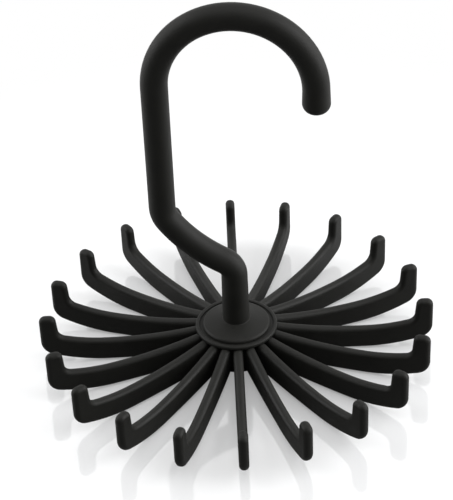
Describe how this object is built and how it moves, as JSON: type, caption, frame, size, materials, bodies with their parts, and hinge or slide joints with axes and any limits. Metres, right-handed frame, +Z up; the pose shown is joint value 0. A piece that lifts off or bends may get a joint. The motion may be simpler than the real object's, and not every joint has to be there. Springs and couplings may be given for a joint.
{
  "type": "tie hanger",
  "caption": "Round tie hanger: bow-shaped arms with upturned finger ends radiate from a hub below a rod hook that swivels freely, to hang ties or belts from a wardrobe rail.",
  "frame": {"origin": "on the swivel axis, in the plane of the flat foot that the hanger stands on", "axes": "+Z up along the swivel axis; +X across the hook, towards the side that its free end is on; the hook lies in the XZ plane"},
  "size_m": [0.1394, 0.1394, 0.1413],
  "materials": {
    "soft_black": "black moulded plastic with a satin soft-touch surface",
    "washer_white": "natural white slippery plastic",
    "zinc_steel": "bright zinc plated steel"
  },
  "bodies": {
    "rack": {"hub": "soft_black", "top_ring": "soft_black", "base_cover": "soft_black", "arm_01": "soft_black", "arm_02": "soft_black", "arm_03": "soft_black", "arm_04": "soft_black", "arm_05": "soft_black", "arm_06": "soft_black", "arm_07": "soft_black", "arm_08": "soft_black", "arm_09": "soft_black", "arm_10": "soft_black", "arm_11": "soft_black", "arm_12": "soft_black", "arm_13": "soft_black", "arm_14": "soft_black", "arm_15": "soft_black", "arm_16": "soft_black", "arm_17": "soft_black", "arm_18": "soft_black", "arm_19": "soft_black", "arm_20": "soft_black"},
    "hook": {"hook": "soft_black", "thrust_washer": "washer_white", "retaining_washer": "zinc_steel", "retaining_screw": "zinc_steel"}
  },
  "joints": [
    {"name": "hook_swivel", "type": "hinge", "parent": "rack", "child": "hook", "pos_m": [0, 0, 0.0129], "axis": [0, 0, 1], "continuous": true}
  ]
}
